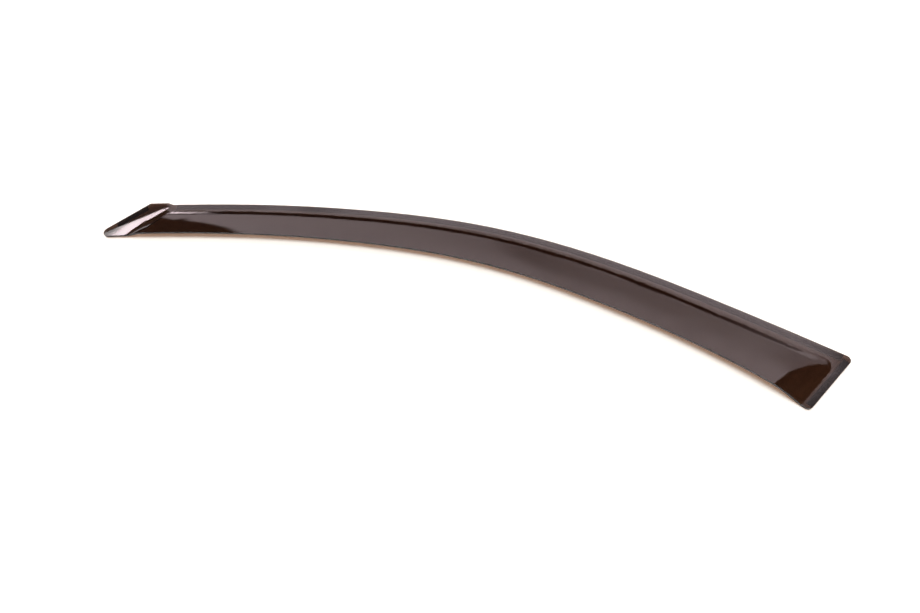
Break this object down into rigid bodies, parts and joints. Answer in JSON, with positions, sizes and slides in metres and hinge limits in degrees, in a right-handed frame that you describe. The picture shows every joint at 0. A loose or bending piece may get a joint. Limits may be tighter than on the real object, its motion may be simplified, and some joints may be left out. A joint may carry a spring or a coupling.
{
  "type": "window rain deflector",
  "caption": "Long curved smoked visor with a stepped flange, faceted nose and ramped rear end, taped to a car door frame to shed rain from an open window.",
  "frame": {"origin": "below the middle of the visor's box, on the plane of the tape's sticky face", "axes": "+X along the door from the pointed nose to the square rear end, +Y to the flange that follows the top of the window, +Z away from the glass"},
  "size_m": [0.892, 0.1296, 0.0142],
  "materials": {
    "smoked_acrylic": "polished, see-through smoke tint",
    "foam_tape": "matte foam"
  },
  "bodies": {
    "root": {"visor": "smoked_acrylic", "mounting_tape_top": "foam_tape", "mounting_tape_rear": "foam_tape", "mounting_tape_nose": "foam_tape"}
  },
  "joints": []
}
